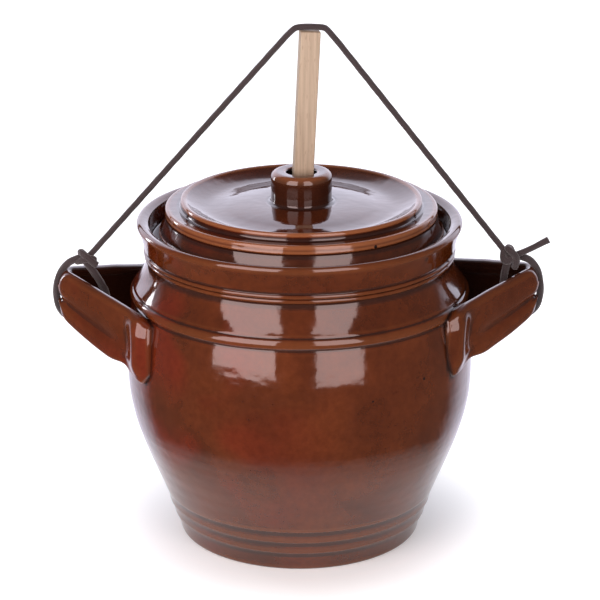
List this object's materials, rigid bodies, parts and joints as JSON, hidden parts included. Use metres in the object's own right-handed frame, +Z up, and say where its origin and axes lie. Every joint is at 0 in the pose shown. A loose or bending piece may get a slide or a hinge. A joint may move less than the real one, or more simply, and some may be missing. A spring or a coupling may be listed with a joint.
{
  "type": "fermentation crock",
  "caption": "Glazed stoneware pickling crock with strap handles, a dished lid with a bored knob, a square wooden press stick through it and an elastic cord over the stick.",
  "frame": {"origin": "on the pot's axis at the middle of its foot, on the surface it stands on", "axes": "+Z up along the pot's axis; X runs from handle to handle; Y from front to back, the front towards -Y"},
  "size_m": [0.3294, 0.2276, 0.3438],
  "materials": {
    "glazed_stoneware": "glossy brown glaze",
    "bare_wood": "planed, bare",
    "woven_cord": "woven sleeve"
  },
  "bodies": {
    "root": {"crock": "glazed_stoneware", "lid": "glazed_stoneware", "press_stick": "bare_wood", "cord_span": "woven_cord", "knot_left": "woven_cord", "knot_right": "woven_cord", "handle_loop_left": "woven_cord", "handle_loop_right": "woven_cord", "cord_tail": "woven_cord"}
  },
  "joints": []
}
